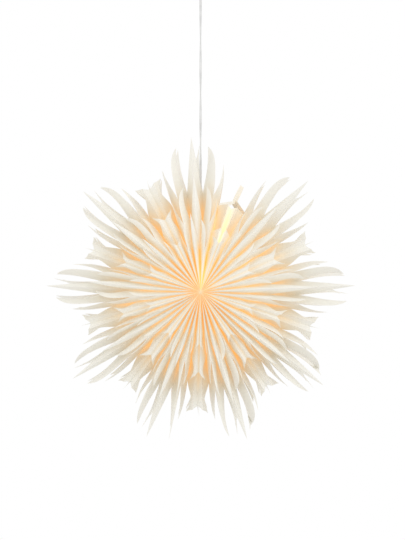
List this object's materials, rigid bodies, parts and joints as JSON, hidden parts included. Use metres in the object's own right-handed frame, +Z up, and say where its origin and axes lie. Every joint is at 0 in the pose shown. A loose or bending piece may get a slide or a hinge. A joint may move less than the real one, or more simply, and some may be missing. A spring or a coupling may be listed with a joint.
{
  "type": "paper star pendant",
  "caption": "Lit folded-paper star pendant with three tiers of pointed blades, on a cord with screw-cap lampholder and ceiling cup.",
  "frame": {"origin": "centre of the ceiling bracket, on the ceiling plane", "axes": "+Z up to the ceiling, the star faces -Y, +X to the right as seen from the front"},
  "size_m": [0.5996, 0.3198, 0.9561],
  "materials": {
    "black_glass": "opaque black glass",
    "brass": "stamped",
    "bulb_glass": "frosted",
    "cap_metal": "rolled thread",
    "card": "matte card",
    "ceramic_insert": "unglazed",
    "clear_glass": "clear",
    "cord_sheath": "flexible sheath",
    "cup_plastic": "moulded",
    "filament": "glowing",
    "holder_plastic": "satin thermoplastic",
    "lead_insulation": "lead insulation",
    "paper": "matte white paper, lit from inside",
    "plug_plastic": "matte",
    "solder": "dull solder",
    "strap_steel": "zinc plated",
    "wire": "zinc-plated wire"
  },
  "bodies": {
    "ceiling_fitting": {"ceiling_bracket": "strap_steel", "ceiling_hook": "strap_steel"},
    "hanger": {"cord_hanger": "plug_plastic", "terminal_block": "plug_plastic", "terminal_screws": "strap_steel", "cord_tails": "lead_insulation"},
    "star": {"bag_1_front": "paper", "bag_1_back": "paper", "bag_2_front": "paper", "bag_2_back": "paper", "bag_3_front": "paper", "bag_3_back": "paper", "bag_4_front": "paper", "bag_4_back": "paper", "bag_5_front": "paper", "bag_5_back": "paper", "bag_6_front": "paper", "bag_6_back": "paper", "bag_7_front": "paper", "bag_7_back": "paper", "bag_8_front": "paper", "bag_8_back": "paper", "bag_9_front": "paper", "bag_9_back": "paper", "end_card_left": "card", "end_card_right": "card", "closing_tab": "paper", "hanger_bow": "wire", "bow_end_caps": "plug_plastic", "holder_nipple": "holder_plastic", "holder_cap": "holder_plastic", "holder_body": "holder_plastic", "holder_insert": "ceramic_insert", "socket_shell": "brass", "centre_contact": "brass", "contact_screws": "brass", "holder_leads": "lead_insulation", "cord_drop": "cord_sheath"},
    "ring": {"retaining_ring": "holder_plastic"},
    "bulb": {"bulb_tip": "solder", "bulb_insulator": "black_glass", "bulb_screw_cap": "cap_metal", "bulb_glass": "bulb_glass", "bulb_stem": "clear_glass", "bulb_filament": "filament"},
    "cup": {"ceiling_cup": "cup_plastic", "cup_bush": "cup_plastic", "cup_grip_screw": "cup_plastic"}
  },
  "joints": [
    {"name": "star_swing", "type": "hinge", "parent": "ceiling_fitting", "child": "hanger", "pos_m": [0, 0, -0.023], "axis": [0, 1, 0], "range_deg": [-8, 8]},
    {"name": "star_turn", "type": "hinge", "parent": "hanger", "child": "star", "pos_m": [0, 0, -0.04], "axis": [0, 0, 1], "range_deg": [-180, 180]},
    {"name": "cup_slide", "type": "slide", "parent": "star", "child": "cup", "axis": [0, 0, -1], "range_m": [0, 0.12]},
    {"name": "bulb_out", "type": "slide", "parent": "star", "child": "bulb", "axis": [0, 0, -1], "range_m": [0, 0.028]},
    {"name": "ring_down", "type": "slide", "parent": "star", "child": "ring", "axis": [0, 0, -1], "range_m": [0, 0.015]}
  ]
}
